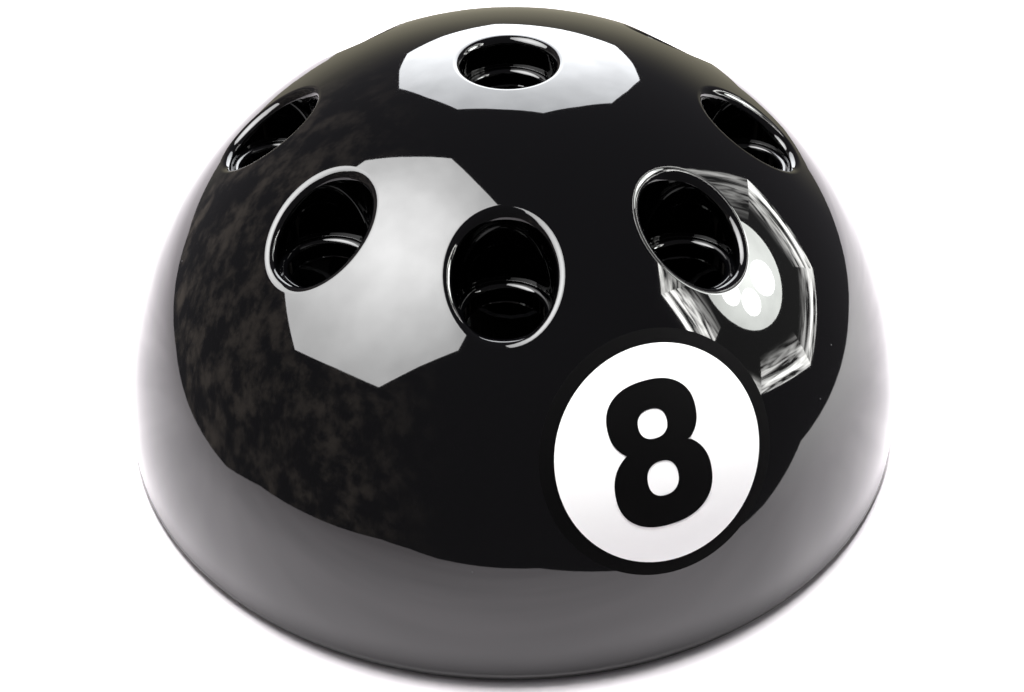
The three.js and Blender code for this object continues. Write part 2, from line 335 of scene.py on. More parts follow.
def socket_rows(axis, directions, mouth, shoulder, throat_end):
    """From the lip's lower edge down the bore, over the shoulder, through the throat and back up outside.

    The throat ends in an uneven burr, left where the blind end of the moulding was cut away.
    """
    corners = [
        (BORE, shoulder + 8 * MM, 0),
        (BORE, shoulder - GUTTER, 0.1 * MM),
        (THROAT, shoulder, 2.3 * MM),
        (THROAT, throat_end + 1.0 * MM, 0.2 * MM),
        (THROAT - BURR, throat_end + 0.45 * MM, 0.15 * MM),
        (THROAT, throat_end, 0.2 * MM),
        (THROAT + WALL, throat_end, 0.35 * MM),
        (THROAT + WALL, shoulder - WALL - GUTTER, 1.5 * MM),
        (BORE + WALL, shoulder - WALL - GUTTER, 3.0 * MM),
        (BORE + WALL, shoulder + 2 * MM, 0),
    ]
    profile = soft_profile(corners, steps=5)[1:-1]
    rows = []
    down = 5
    first_z = profile[0][1]
    for k in range(1, down):
        row = []
        for (place, _), way in zip(mouth, directions):
            z = place.z + (first_z - place.z) * k / down
            row.append(((axis.x + BORE * way.x, axis.y + BORE * way.y, z), -way))
        rows.append(row)
    for r, z, nr, nz in profile:
        row = []
        in_burr = z < throat_end + 0.9 * MM and r < THROAT + 0.3 * MM
        for k, way in enumerate(directions):
            rough = trimmed(k, len(directions)) if in_burr else 0
            reach = r + rough * 0.6
            place = (axis.x + reach * way.x, axis.y + reach * way.y, z + rough)
            row.append((place, (way.x * nr, way.y * nr, nz)))
        rows.append(row)
    return rows


def trimmed(k, count):
    """Unevenness of the hand-trimmed lower edge of a throat."""
    a = TAU * k / count
    slow = math.sin(3 * a + 1) + 0.6 * math.sin(7 * a)
    quick = 0.7 * math.sin(16 * a + 2) + 0.5 * math.sin(27 * a)
    return 0.16 * MM * (slow + quick)


def inner_mouth(axis, directions, radius):
    """Where the outside of a socket meets the inside of the dome."""
    row = []
    for way in directions:
        place = axis + way * (BORE + WALL)
        place.z = math.sqrt(radius**2 - place.x**2 - place.y**2)
        row.append((place, -place.normalized()))
    return row


def spread(near, far, radius, steps, inward=False):
    """Rows on a ball between two loops that are in step."""
    rows = []
    for k in range(steps + 1):
        share = k / steps
        row = []
        for (a, _), (b, _) in zip(near, far):
            if k in (0, steps):
                place = Vector(a if k == 0 else b)
                normal = place.normalized()
            else:
                normal = Vector(a).lerp(Vector(b), share).normalized()
                place = normal * radius
            row.append((place, -normal if inward else normal))
        rows.append(row)
    return rows


def rim_profile():
    """From the dome's outer skin over the faint bead and round the edge to the inner skin."""
    edge = 0.45 * MM
    height = 3.4 * MM
    swell = 0.3 * MM
    steps = 12
    out = []
    for k in range(steps + 1):
        z = RIM + edge + height * (1 - k / steps)
        skin_r = math.sqrt(BALL**2 - z**2)
        r = skin_r + swell * math.sin(math.pi * k / steps) ** 2
        slope = -z / skin_r - swell * math.pi * math.sin(TAU * k / steps) / height
        flat = math.hypot(1, slope)
        out.append((r, z, 1 / flat, -slope / flat))
    last_r = out[-1][0]
    for k in range(1, 7):
        c, s = math.cos(math.pi / 2 * k / 6), math.sin(math.pi / 2 * k / 6)
        out.append((last_r - edge + edge * c, RIM + edge - edge * s, c, -s))
    under = [(last_r - edge, RIM, 0), (BALL - WALL, RIM, 0.6 * MM), (BALL - WALL, RIM + RIM_INSIDE, 0)]
    out += [(r, z, -nr, -nz) for r, z, nr, nz in soft_profile(under, steps=4)[1:]]
    return out


def screw_post(skin, azimuth):
    """A hollow post for one of the board's screws, rooted in the inside of the dome."""
    centre = Vector((math.sin(azimuth), -math.cos(azimuth), 0)) * POST_CIRCLE
    foot = POST_FOOT - CENTRE_Z
    corners = [
        (0, foot + POST_BORE_DEPTH, 0),
        (POST_BORE, foot + POST_BORE_DEPTH, 0.3 * MM),
        (POST_BORE, foot, 0.4 * MM),
        (POST_RADIUS, foot, 0.6 * MM),
        (POST_RADIUS, foot + 3 * MM, 0),
    ]
    rows = turned_rows(soft_profile(corners, steps=3), 24, centre)
    top = []
    for place, normal in rows[-1]:
        x, y, _ = place
        top.append(((x, y, math.sqrt((BALL - WALL / 2) ** 2 - x**2 - y**2)), normal))
    roof_z = sum(place[2] for place, _ in top) / len(top)
    skin.patch(rows + [top, [((centre.x, centre.y, roof_z), (0, 0, 1))]])


def mould_socket(skin, axis, directions, shoulder, throat_end, drop):
    """A mouth, bore and throat. Returns the loops where it meets the dome's outside and inside."""
    lip = lip_rows(lip_bends(axis, directions, shoulder, drop))
    skin.patch(lip)
    inner_loop = inner_mouth(axis, directions, BALL - WALL)
    bore = socket_rows(axis, directions, lip[-1], shoulder, throat_end)
    skin.patch([lip[-1]] + bore + [inner_loop])
    return lip[0], inner_loop


def skirt_rows():
    """The dome below the sockets: down the outside, round the rim and up the inside."""
    inner_ball = BALL - WALL
    rim = turned_rows(rim_profile(), AROUND)
    last_polar = math.acos(rim[0][0][0][2] / BALL)
    bands = 20
    rows = []
    for k in range(bands):
        polar = OUTER_POLAR + (last_polar - OUTER_POLAR) * k / bands
        rows.append([ball_point(BALL, polar, m) for m in range(AROUND)])
    rows += rim
    start = math.acos((RIM + RIM_INSIDE) / inner_ball)
    inner_bands = 10
    for k in range(1, inner_bands + 1):
        polar = start + (OUTER_POLAR - start) * k / inner_bands if k < inner_bands else OUTER_POLAR
        row = [ball_point(inner_ball, polar, m) for m in range(AROUND)]
        rows.append([(place, -normal) for place, normal in row])
    return rows


def dome():
    skin = Skin()
    inner_ball = BALL - WALL
    for index, place in enumerate(SOCKET_CENTRES):
        axis = Vector((place.x, place.y, 0))
        ways = mouth_directions(index)
        mouth, inner_loop = mould_socket(skin, axis, ways, RING_SHOULDER, RING_THROAT_END, LIP_DROP)
        skin.patch(spread(sector_edge(BALL, index), mouth, BALL, 8))
        skin.patch(spread(inner_loop, sector_edge(inner_ball, index), inner_ball, 4, inward=True))
    pole = Vector((0, 0, 0))
    mouth, inner_loop = mould_socket(skin, pole, pole_directions(), POLE_SHOULDER, POLE_THROAT_END, 0)
    ring = [ball_point(BALL, INNER_POLAR, k) for k in range(AROUND)]
    skin.patch(spread(ring, mouth, BALL, 6))
    inner_ring = [ball_point(inner_ball, INNER_POLAR, k) for k in range(AROUND)]
    skin.patch(spread(inner_loop, inner_ring, inner_ball, 3, inward=True))
    skin.patch(skirt_rows())
    for index in range(RING_COUNT):
        screw_post(skin, TAU * (index + 0.5) / RING_COUNT)
    skin.points = [(x, y, z + CENTRE_Z) for x, y, z in skin.points]
    return skin.build("shell_dome")


# ---- Numbered spot --------------------------------------------------------------------------------------

SPOT_NORMAL = heading(SPOT_AZIMUTH, SPOT_ELEVATION)
SPOT_RIGHT = Vector((math.cos(SPOT_AZIMUTH), math.sin(SPOT_AZIMUTH), 0))
SPOT_UP = SPOT_NORMAL.cross(SPOT_RIGHT)


def on_spot(x, y, height):
    """Place and normal at (x, y) along the dome's surface from the spot's middle, and `height` above it."""
    reach = math.hypot(x, y)
    turn = reach / BALL
    way = (SPOT_RIGHT * x + SPOT_UP * y) / reach if reach > 0 else SPOT_RIGHT
    normal = SPOT_NORMAL * math.cos(turn) + way * math.sin(turn)
    return Vector((0, 0, CENTRE_Z)) + normal * (BALL + height), normal


def film_disc(name, radius, bottom, top):
    """A round film on the dome, with a softened edge."""
    edge = 0.06 * MM
    around = SPOKES[96]

    def circle(reach, height):
        return [on_spot(reach * c, reach * s, height) for c, s in around]

    rows = [[on_spot(0, 0, top)]]
    rows += [circle(radius * share, top) for share in (0.12, 0.25, 0.4, 0.55, 0.7, 0.82, 0.92, 0.97)]
    for k in range(4):
        lean = math.pi / 2 * k / 3
        rounded = circle(radius - edge + edge * math.sin(lean), top - edge + edge * math.cos(lean))
        row = []
        for (place, normal), (c, s) in zip(rounded, around):
            away = SPOT_RIGHT * c + SPOT_UP * s
            outward = (away - normal * normal.dot(away)).normalized()
            row.append((place, normal * math.cos(lean) + outward * math.sin(lean)))
        rows.append(row)
    foot = circle(radius, bottom)
    rows.append([(place, normal) for (place, _), (_, normal) in zip(foot, rows[-1])])
    rows += [circle(radius * share, bottom) for share in (0.8, 0.5, 0.25)]
    rows.append([on_spot(0, 0, bottom)])
    skin = Skin()
    skin.patch(rows)
    return skin.build(name)


# The figure's own measures are in millimetres, from the spot's middle. A lobe is its middle's height, half
# its width and half its height.
LOBE_POWER = 2.3
NUMERAL_SHIFT = -1.8
COUNTER_SHIFT = -2.3
UPPER_LOBE = (16.65, 20.3, 16.35)
LOWER_LOBE = (-11.5, 22.4, 19.0)
UPPER_COUNTER = (14.6, 6.6, 6.3)
LOWER_COUNTER = (-9.3, 7.1, 7.6)
NOTCH_DEPTH = 0.8


def lobe_point(lobe, angle, shift=NUMERAL_SHIFT):
    """A point of a lobe's outline, a superellipse."""
    y, half_width, half_height = lobe
    c, s = math.cos(angle), math.sin(angle)
    px = math.copysign(abs(c) ** (2 / LOBE_POWER), c) * half_width
    py = math.copysign(abs(s) ** (2 / LOBE_POWER), s) * half_height
    return shift + px, y + py


def lobe_half_width(lobe, height):
    """How far a lobe's outline lies from its middle line at a height."""
    y, half_width, half_height = lobe
    share = min(1.0, abs(height - y) / half_height)
    return half_width * (1 - share**LOBE_POWER) ** (1 / LOBE_POWER)


def waist_height():
    """Where the outlines of the two lobes cross."""
    low, high = LOWER_LOBE[0], UPPER_LOBE[0]
    for _ in range(40):
        y = (low + high) / 2
        if lobe_half_width(UPPER_LOBE, y) > lobe_half_width(LOWER_LOBE, y):
            high = y
        else:
            low = y
    return y


def figure_outline(steps=72):
    """Round the two lobes, from the waist's right end. The right side's notch is a little deeper."""
    waist = waist_height()
    upper = [lobe_point(UPPER_LOBE, TAU * k / steps) for k in range(steps)]
    lower = [lobe_point(LOWER_LOBE, TAU * k / steps) for k in range(steps)]
    notch = lobe_half_width(UPPER_LOBE, waist)
    crown = [p for p in upper[: steps // 2 + 1] if p[1] > waist]
    right = [p for p in upper[3 * steps // 4 :] if p[1] > waist]
    left = [p for p in upper[steps // 2 + 1 : 3 * steps // 4] if p[1] > waist]
    low_left = [p for p in lower[steps // 4 :] if p[1] < waist and p[0] < NUMERAL_SHIFT]
    low_right = [p for p in lower[3 * steps // 4 :] if p[1] < waist and p[0] >= NUMERAL_SHIFT]
    low_right += [p for p in lower[: steps // 4] if p[1] < waist]
    outline = [(NUMERAL_SHIFT + notch - NOTCH_DEPTH, waist)] + right + crown + left
    outline += [(NUMERAL_SHIFT - notch, waist)] + low_left + low_right
    return outline


def inside(point, loop):
    """Whether a ray from the point crosses the loop an odd number of times."""
    hits = 0
    for (x0, y0), (x1, y1) in zip(loop, loop[1:] + loop[:1]):
        if (y0 > point.y) != (y1 > point.y) and point.x < x0 + (point.y - y0) / (y1 - y0) * (x1 - x0):
            hits += 1
    return hits % 2 == 1


def film_figure(name, bottom, top):
    """The bold eight: its outline and counters, filled with triangles that follow the dome."""
    loops = [figure_outline()]
    for counter in (UPPER_COUNTER, LOWER_COUNTER):
        loops.append([lobe_point(counter, -TAU * k / 40, COUNTER_SHIFT) for k in range(40)])
    flat = []
    edges = []
    for loop in loops:
        first = len(flat)
        flat += [Vector(p) for p in loop]
        edges += [(first + k, first + (k + 1) % len(loop)) for k in range(len(loop))]
    outline_count = len(flat)
    pitch = 3.0
    clearance = 1.2
    for i in range(-9, 10):
        for j in range(-12, 13):
            p = Vector((i * pitch + (j % 2) * pitch / 2, j * pitch))
            if min((p - q).length for q in flat[:outline_count]) > clearance:
                flat.append(p)
    found = delaunay_2d_cdt(flat, edges, [], 0, 1e-6)
    places, faces = found[0], found[2]
    skin = Skin()

    def mark(x, y, height):
        return skin.point(*on_spot(x * MM, y * MM, height))

    for face in faces:
        inner = sum((places[k] for k in face), Vector((0, 0))) / len(face)
        if inside(inner, loops[0]) and not any(inside(inner, loop) for loop in loops[1:]):
            for height, order in ((top, face), (bottom, face[::-1])):
                skin.face([mark(places[k].x, places[k].y, height) for k in order])
    for loop in loops:
        upper = [mark(x, y, top) for x, y in loop]
        lower = [mark(x, y, bottom) for x, y in loop]
        for k in range(len(loop)):
            j = (k + 1) % len(loop)
            skin.face((upper[k], lower[k], lower[j], upper[j]))
    return skin.build(name)


# ---- Screws and feet ------------------------------------------------------------------------------------

HEAD_HEIGHT = 2.4 * MM
SHANK = 2.0 * MM
SHANK_CORE = 0.78 * SHANK
THREAD_PITCH = 1.6 * MM
RECESS_DEPTH = 1.5 * MM
RECESS_ARM = 2.1 * MM


def cross_reach(m, arm):
    """How far the edge of a cross recess lies from its middle, in steps of 15 degrees."""
    a = 15 * (m % 6)
    a = math.radians(min(a, 90 - a))
    return arm / math.cos(a) if a < math.radians(16) else arm * math.tan(math.radians(15)) / math.sin(a)


def pan_screw(name, node):
    """A pan-head screw, head down, with a cross recess and a ringed shank."""
    low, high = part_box(node)
    centre = stands_on(node)
    head = (high.x - low.x) / 2
    length = high.z - low.z
    count = 24

    def cross_row(arm, z):
        row = []
        for m, (x, y) in enumerate(SPOKES[count]):
            reach = cross_reach(m, arm)
            row.append(((centre.x + reach * x, centre.y + reach * y, centre.z + z), (0, 0, -1)))
        return row

    rows = [
        [((centre.x, centre.y, centre.z + RECESS_DEPTH + 0.2 * MM), (0, 0, -1))],
        cross_row(0.9 * MM, RECESS_DEPTH),
        cross_row(RECESS_ARM, 0.2 * MM),
        cross_row(RECESS_ARM + 0.1 * MM, 0.08 * MM),
    ]
    corners = [(0.72 * head, 0.05 * MM, 0), (head, 0.4 * MM, 0.8 * MM), (head, HEAD_HEIGHT, 0.15 * MM)]
    corners += [(SHANK * 1.15, HEAD_HEIGHT, 0.1 * MM), (SHANK * 0.8, HEAD_HEIGHT + 0.5 * MM, 0)]
    z = HEAD_HEIGHT + 1.2 * MM
    while z < length - 3 * MM:
        crest = [(SHANK, z + 0.45 * THREAD_PITCH, 0), (SHANK, z + 0.55 * THREAD_PITCH, 0)]
        corners += [(SHANK_CORE, z, 0)] + crest
        z += THREAD_PITCH
    corners += [(SHANK_CORE, z, 0), (0, length, 0)]
    rows += turned_rows(soft_profile(corners, steps=3), count, centre)
    skin = Skin()
    skin.patch(rows)
    return skin.build(name, crease=40)


def rubber_foot(name, node):
    """A round foot with a recess for its screw and a groove round the sole."""
    low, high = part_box(node)
    radius = (high.x - low.x) / 2
    height = high.z - low.z
    hole = 2.3 * MM
    counterbore = 5.0 * MM
    recess = 3.2 * MM
    groove = 0.6 * MM
    corners = [
        (hole, height, 0.2 * MM),
        (hole, recess, 0.2 * MM),
        (counterbore, recess, 0.3 * MM),
        (counterbore, 0, 0.5 * MM),
        (8.2 * MM, 0, 0.3 * MM),
        (8.6 * MM, groove, 0.2 * MM),
        (9.6 * MM, groove, 0.2 * MM),
        (10.0 * MM, 0, 0.3 * MM),
        (radius - 0.7 * MM, 0, 0.9 * MM),
        (radius, height * 0.6, 0.6 * MM),
        (radius, height, 0.4 * MM),
        (hole, height, 0.2 * MM),
    ]
    profile = soft_profile(corners, steps=3)
    rows = turned_rows(profile[1:-1], 48, stands_on(node))
    skin = Skin()
    skin.patch(rows + [rows[0]])
    return skin.build(name, crease=50)


# ---- Materials ------------------------------------------------------------------------------------------


class Nodes:
    """Short ways to add nodes to the tree of a material or a world."""

    def __init__(self, owner):
        owner.use_nodes = True
        self.tree = owner.node_tree

    def add(self, kind, settings=None, **inputs):
        node = self.tree.nodes.new(kind)
        for key, value in (settings or {}).items():
            setattr(node, key, value)
        for key, value in inputs.items():
            self.feed(node.inputs[key.replace("_", " ")], value)
        return node

    def feed(self, socket, value):
        if isinstance(value, bpy.types.NodeSocket):
            self.tree.links.new(value, socket)
        else:
            socket.default_value = value

    def noise(self, scale, detail=2.0, roughness=0.5, where=None, distortion=0.0):
        node = self.add("ShaderNodeTexNoise", Scale=scale, Detail=detail, Roughness=roughness)
        self.feed(node.inputs["Distortion"], distortion)
        self.feed(node.inputs["Vector"], where or self.where)
        return node.outputs["Fac"]

    def ramp(self, value, low, high, out_low=0.0, out_high=1.0, kind="LINEAR"):
        node = self.add("ShaderNodeMapRange", {"interpolation_type": kind}, Value=value)
        self.feed(node.inputs["From Min"], low)
        self.feed(node.inputs["From Max"], high)
        self.feed(node.inputs["To Min"], out_low)
        self.feed(node.inputs["To Max"], out_high)
        return node.outputs["Result"]

    def math(self, operation, *terms):
        node = self.add("ShaderNodeMath", {"operation": operation})
        for socket, term in zip(node.inputs, terms):
            self.feed(socket, term)
        return node.outputs[0]

    def mix(self, share, a, b):
        node = self.add("ShaderNodeMix", {"data_type": "RGBA"})
        self.feed(node.inputs["Factor"], share)
        self.feed(node.inputs["A"], a)
        self.feed(node.inputs["B"], b)
        return node.outputs["Result"]

    def parts(self, vector):
        """The X, Y and Z of a vector."""
        return self.add("ShaderNodeSeparateXYZ", Vector=vector).outputs

    def length(self, vector):
        node = self.add("ShaderNodeVectorMath", {"operation": "LENGTH"})
        self.feed(node.inputs[0], vector)
        return node.outputs["Value"]


class Look(Nodes):
    """A material with a Principled shader."""

    def __init__(self, name, **settings):
        self.material = bpy.data.materials.new(name)
        super().__init__(self.material)
        self.shader = self.tree.nodes["Principled BSDF"]
        self.where = self.add("ShaderNodeTexCoord").outputs["Object"]
        self.set(**settings)

    def bump(self, height, distance, normal=None):
        node = self.add("ShaderNodeBump", Height=height, Distance=distance)
        if normal is not None:
            self.feed(node.inputs["Normal"], normal)
        return node.outputs["Normal"]

    def set(self, **inputs):
        for key, value in inputs.items():
            self.feed(self.shader.inputs[key.replace("_", " ")], value)
        return self.material


class Shine(Nodes):
    """A material that only gives off light."""

    def __init__(self, name):
        self.material = bpy.data.materials.new(name)
        super().__init__(self.material)
        self.tree.nodes.clear()
        self.where = self.add("ShaderNodeTexCoord").outputs["Object"]

    def set(self, colour, strength):
        emission = self.add("ShaderNodeEmission", Color=(*colour, 1), Strength=strength)
        self.add("ShaderNodeOutputMaterial", Surface=emission.outputs[0])
        return self.material


def specks(look, scale, share, size):
    """Small dots: the cells of a Voronoi pattern that a random draw keeps, cut to a radius."""
    cells = look.add("ShaderNodeTexVoronoi", {"feature": "F1"}, Scale=scale, Vector=look.where)
    split = look.add("ShaderNodeSeparateColor", Color=cells.outputs["Color"])
    kept = look.math("LESS_THAN", split.outputs["Red"], share)
    radius = look.math("MULTIPLY", split.outputs["Green"], size)
    dot = look.math("LESS_THAN", cells.outputs["Distance"], radius)
    return look.math("MULTIPLY", kept, dot)


def gloss_shell():
    """Black plastic with sparse dust, a faint grime, slow waves from the mould and an orange peel."""
    look = Look("gloss_shell", IOR=1.5)
    dust = specks(look, 150.0, 0.04, 0.09)
    grime = look.ramp(look.noise(9.0, 3.0), 0.45, 0.75, 0.0, 1.0)
    colour = look.mix(dust, (0.0008, 0.0008, 0.001, 1), (0.05, 0.05, 0.055, 1))
    rough = look.math("ADD", look.math("MULTIPLY", grime, 0.02), 0.025)
    rough = look.math("ADD", rough, look.math("MULTIPLY", dust, 0.25))
    waves = look.bump(look.noise(16.0, 1.0), 0.00005)
    peel = look.bump(look.noise(420.0, 2.0), 0.0000008, waves)
    return look.set(Base_Color=colour, Roughness=rough, Normal=peel)


def vinyl(name, roughness, drift, low, high, **settings):
    """Film with a fine grain. Its colour drifts between two close ones, in patches of scale `drift`."""
    look = Look(name, IOR=1.45, **settings)
    grain = look.noise(2600.0, 2.0)
    rough = look.ramp(grain, 0.3, 0.7, *roughness)
    colour = look.mix(look.noise(drift, 3.0), low, high)
    return look.set(Base_Color=colour, Roughness=rough, Normal=look.bump(grain, 0.000002))


def black_vinyl():
    low, high = (0.0026, 0.0026, 0.0027, 1), (0.0036, 0.0035, 0.0036, 1)
    return vinyl("black_vinyl", (0.42, 0.55), 60.0, low, high, Specular_IOR_Level=0.02)


def white_vinyl():
    return vinyl("white_vinyl", (0.3, 0.42), 45.0, (0.95, 0.95, 0.94, 1), (0.975, 0.975, 0.965, 1))


def board():
    look = Look("board")
    fibre = look.noise(700.0, 4.0, 0.6)
    colour = look.mix(fibre, (0.012, 0.011, 0.010, 1), (0.035, 0.032, 0.029, 1))
    rough = look.ramp(fibre, 0.2, 0.8, 0.6, 0.8)
    return look.set(Base_Color=colour, Roughness=rough, Normal=look.bump(fibre, 0.00005))


def cup_plastic():
    look = Look("cup_plastic", Specular_IOR_Level=0.08)
    grain = look.noise(1800.0, 2.0)
    colour = look.mix(look.noise(40.0), (0.0012, 0.0012, 0.0014, 1), (0.002, 0.002, 0.0022, 1))
    rough = look.ramp(grain, 0.3, 0.7, 0.55, 0.7)
    return look.set(Base_Color=colour, Roughness=rough, Normal=look.bump(grain, 0.00002))


def rubber():
    look = Look("rubber")
    grain = look.noise(900.0, 4.0, 0.7)
    colour = look.mix(grain, (0.01, 0.01, 0.01, 1), (0.028, 0.028, 0.027, 1))
    rough = look.ramp(grain, 0.2, 0.8, 0.75, 0.95)
    return look.set(Base_Color=colour, Roughness=rough, Normal=look.bump(grain, 0.00006))


def zinc_steel():
    look = Look("zinc_steel", Metallic=1.0)
    grain = look.noise(1200.0, 3.0)
    colour = look.mix(grain, (0.5, 0.51, 0.52, 1), (0.68, 0.69, 0.7, 1))
    rough = look.ramp(grain, 0.3, 0.7, 0.25, 0.4)
    return look.set(Base_Color=colour, Roughness=rough, Normal=look.bump(grain, 0.00001))


LOOKS = {
    "gloss_shell": gloss_shell(),
    "black_vinyl": black_vinyl(),
    "white_vinyl": white_vinyl(),
    "board": board(),
    "cup_plastic": cup_plastic(),
    "rubber": rubber(),
    "zinc_steel": zinc_steel(),
}


def finish_piece(piece, slot, *nodes):
    """Gives a piece its look and its body, and hides the CAD nodes that it stands for."""
    piece.data.materials.append(LOOKS[slot])
    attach(piece, "root")
    if nodes:
        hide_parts(*nodes)


# ---- Pieces ---------------------------------------------------------------------------------------------

dome_nodes = ["dome_cap", "dome_skirt"] + [f"dome_panel_{i + 1}" for i in range(RING_COUNT)]
finish_piece(dome(), "gloss_shell", *dome_nodes)

finish_piece(film_disc("spot_backing", BACKING_RADIUS, 0.0, FILM), "black_vinyl", "decal_backing")
finish_piece(film_disc("spot_disc", DISC_RADIUS, FILM, 2 * FILM), "white_vinyl", "decal_disc")
finish_piece(film_figure("spot_numeral", 2 * FILM, 3 * FILM), "black_vinyl", "decal_numeral")

for index in range(RING_COUNT):
    node = f"base_screw_{index + 1}"
    finish_piece(pan_screw(f"board_screw_{index + 1}", node), "zinc_steel", node)
for index in range(FOOT_COUNT):
    node = f"foot_{index + 1}"
    finish_piece(rubber_foot(f"rubber_foot_{index + 1}", node), "rubber", node)
    node = f"foot_screw_{index + 1}"
    finish_piece(pan_screw(f"foot_fixing_{index + 1}", node), "zinc_steel", node)

# The CAD nodes that stay in view take their looks through the same slots.
for entry in frame["record"]["subparts"]:
    carried = frame["nodes"][entry["node"]]
    carried.data.materials.clear()
    carried.data.materials.append(LOOKS[entry["material_slot"]])

# ---- Floor ----------------------------------------------------------------------------------------------

# Just below the feet's soles, so that no two faces lie in one plane.
FLOOR_Z = -0.1 * MM
CLOTH_OUTLINE = (
    (0.16, 0.42), (0.29, 0.60), (0.34, 0.50), (0.53, 0.60), (0.60, 0.42), (0.65, 0.22), (0.63, 0.03),
    (0.60, -0.17), (0.33, -0.23), (0.20, -0.28), (0.13, -0.41), (0.06, -0.53), (-0.06, -0.56),
    (-0.16, -0.59), (-0.26, -0.65), (-0.36, -0.65), (-0.44, -0.46), (-0.49, -0.30), (-0.43, -0.19),
    (-0.51, -0.05), (-0.62, 0.10), (-0.66, 0.30), (-0.72, 0.50), (-0.55, 0.60), (-0.36, 0.66),
    (-0.30, 0.76), (-0.14, 0.46),
)


def flat_mesh(name, corners, material):
    mesh = bpy.data.meshes.new(name)
    mesh.from_pydata([tuple(c) for c in corners], [], [list(range(len(corners)))])
    mesh.materials.append(material)
    sheet = bpy.data.objects.new(name, mesh)
    bpy.context.scene.collection.objects.link(sheet)
    return sheet


def cloth():
    """Faintly folded cloth. The folds' light and shade are painted into its colour, with painted shade to
    the left and at the back, and painted light at the far right.
    """
    look = Look("floor", Roughness=0.7)
    split = look.parts(look.where)
    far = look.ramp(look.length(look.where), 0.32, 0.62)
    left = look.ramp(split["X"], 0.3, -0.15)
    back = look.ramp(split["Y"], 0.25, 0.55)
    # Painted shade: darker to the left, more so further out, and at the back.
    painted_shade = look.math("MAXIMUM", look.math("MULTIPLY", left, far), back)
    right = look.ramp(split["X"], 0.3, 0.55)
    front = look.ramp(split["Y"], 0.35, 0.1)
    # Painted light: paler at the far right, towards the front.
    pale = look.math("MULTIPLY", right, front)
    swept = look.add("ShaderNodeMapping", Vector=look.where, Rotation=(0, 0, math.radians(25)))
    look.feed(swept.inputs["Scale"], (2.5, 11.0, 1.0))
    # Painted light and shade of the folds: lighter and darker streaks along them.
    fold_shading = look.ramp(look.noise(1.0, 3.0, 0.6, swept.outputs["Vector"]), 0.35, 0.65)
    colour = look.mix(fold_shading, (0.62, 0.59, 0.615, 1), (0.76, 0.72, 0.75, 1))
    colour = look.mix(painted_shade, colour, (0.44, 0.41, 0.43, 1))
    colour = look.mix(pale, colour, (0.95, 0.93, 0.94, 1))
    return look.set(Base_Color=colour)


def floor():
    """A pale cloth just below the feet. Its uneven edge shows in the gloss."""
    flat_mesh("floor", [(x, y, FLOOR_Z) for x, y in CLOTH_OUTLINE], cloth())


# ---- Lights that the gloss shows ------------------------------------------------------------------------

# Angles in a panel run from straight up towards the right, and places in it are (right, up).
SOFTBOX_LEFT = (-0.315, -0.160, 0.682)
SOFTBOX_BACK = (0.037, 0.839, 0.670)
SOFTBOX_GLOW_REACH = 0.46
# The lengths of each softbox's eight rods, the first one nearest to straight up.
LEFT_RODS = (0.44, 0.41, 0.40, 0.42, 0.435, 0.455, 0.46, 0.45)
BACK_RODS = (0.46, 0.44, 0.43, 0.485, 0.485, 0.43, 0.44, 0.465)
LAMP_RIGHT = (0.975, 0.038, 0.619)
DISH_RADIUS = 0.585
DISH_FRONT = 0.267
DISH_SPIN = -5
# For each facet of the dish: how bright its edge is, and how far from the middle it starts to brighten.
DISH_FACETS = (12.0, 24.0, 8.0, 13.0, 9.5, 13.0, 3.4, 12.0)
DISH_RISES = (0.30, 0.28, 0.46, 0.36, 0.40, 0.34, 0.2, 0.30)
# For each bulb: its angle and its radius.
BULBS = ((203, 0.078), (79, 0.058), (134, 0.062), (5, 0.05), (-65, 0.05))
BULB_CIRCLE = 0.138


def clock_point(reach, angle):
    """A place in a panel, with the angle in radians."""
    return reach * math.sin(angle), reach * math.cos(angle)


def ring_of(count, radius, spin, centre=(0, 0)):
    """Corners of a regular polygon."""
    spots = [clock_point(radius, math.radians(spin) + TAU * k / count) for k in range(count)]
    return [(centre[0] + x, centre[1] + y) for x, y in spots]


def softbox_outline(rods, spin, slack):
    """Rods of unlike lengths, and between each two of them the middle of the cloth's slack edge."""
    corners = []
    for k, rod in enumerate(rods):
        between = (rod + rods[(k + 1) % len(rods)]) / 2 * slack
        for reach, turn in ((rod, k), (between, k + 0.5)):
            corners.append(clock_point(reach, math.radians(spin) + TAU * turn / len(rods)))
    return corners


def lit_panel(name, centre, facing, outline, material):
    """A flat panel that shines towards `facing`, round a centre. Only the gloss shows it."""
    facing = Vector(facing).normalized()
    up = (Vector((0, 0, 1)) - facing * facing.z).normalized()
    right = up.cross(facing)
    panel = flat_mesh(name, [(x, y, 0) for x, y in outline], material)
    panel.matrix_world = Matrix.Translation(centre) @ Matrix((right, up, facing)).transposed().to_4x4()
    panel.visible_camera = False
    panel.visible_diffuse = False
    panel.visible_shadow = False


def glow(name, colour, inner, outer, radius):
    """Light that falls off, a little unevenly, from the panel's own middle to its edge."""
    light = Shine(name)
    fall = light.ramp(light.length(light.where), 0.0, radius, inner, outer, "SMOOTHSTEP")
    uneven = light.ramp(light.noise(7.0, 3.0), 0.3, 0.7, 0.92, 1.08)
    return light.set(colour, light.math("MULTIPLY", fall, uneven))


def silver(name, level, rise, turn):
    """Creased silver, brighter towards the dish's edge. The creases run along the edge of the facet."""
    light = Shine(name)
    along = light.add("ShaderNodeMapping", Vector=light.where, Rotation=(0, 0, turn)).outputs["Vector"]
    fall = light.ramp(light.parts(along)["Y"], rise, 0.52, 0.0, level, "SMOOTHSTEP")
    stretched = light.add("ShaderNodeVectorMath", {"operation": "MULTIPLY"})
    light.feed(stretched.inputs[0], along)
    light.feed(stretched.inputs[1], (3.0, 30.0, 1.0))
    creases = light.noise(1.0, 3.0, where=stretched.outputs["Vector"], distortion=1.0)
    contrast = light.ramp(creases, 0.4, 0.68, 0.0, 2.0)
    return light.set((1, 1, 0.97), light.math("MULTIPLY_ADD", fall, contrast, 0.2))


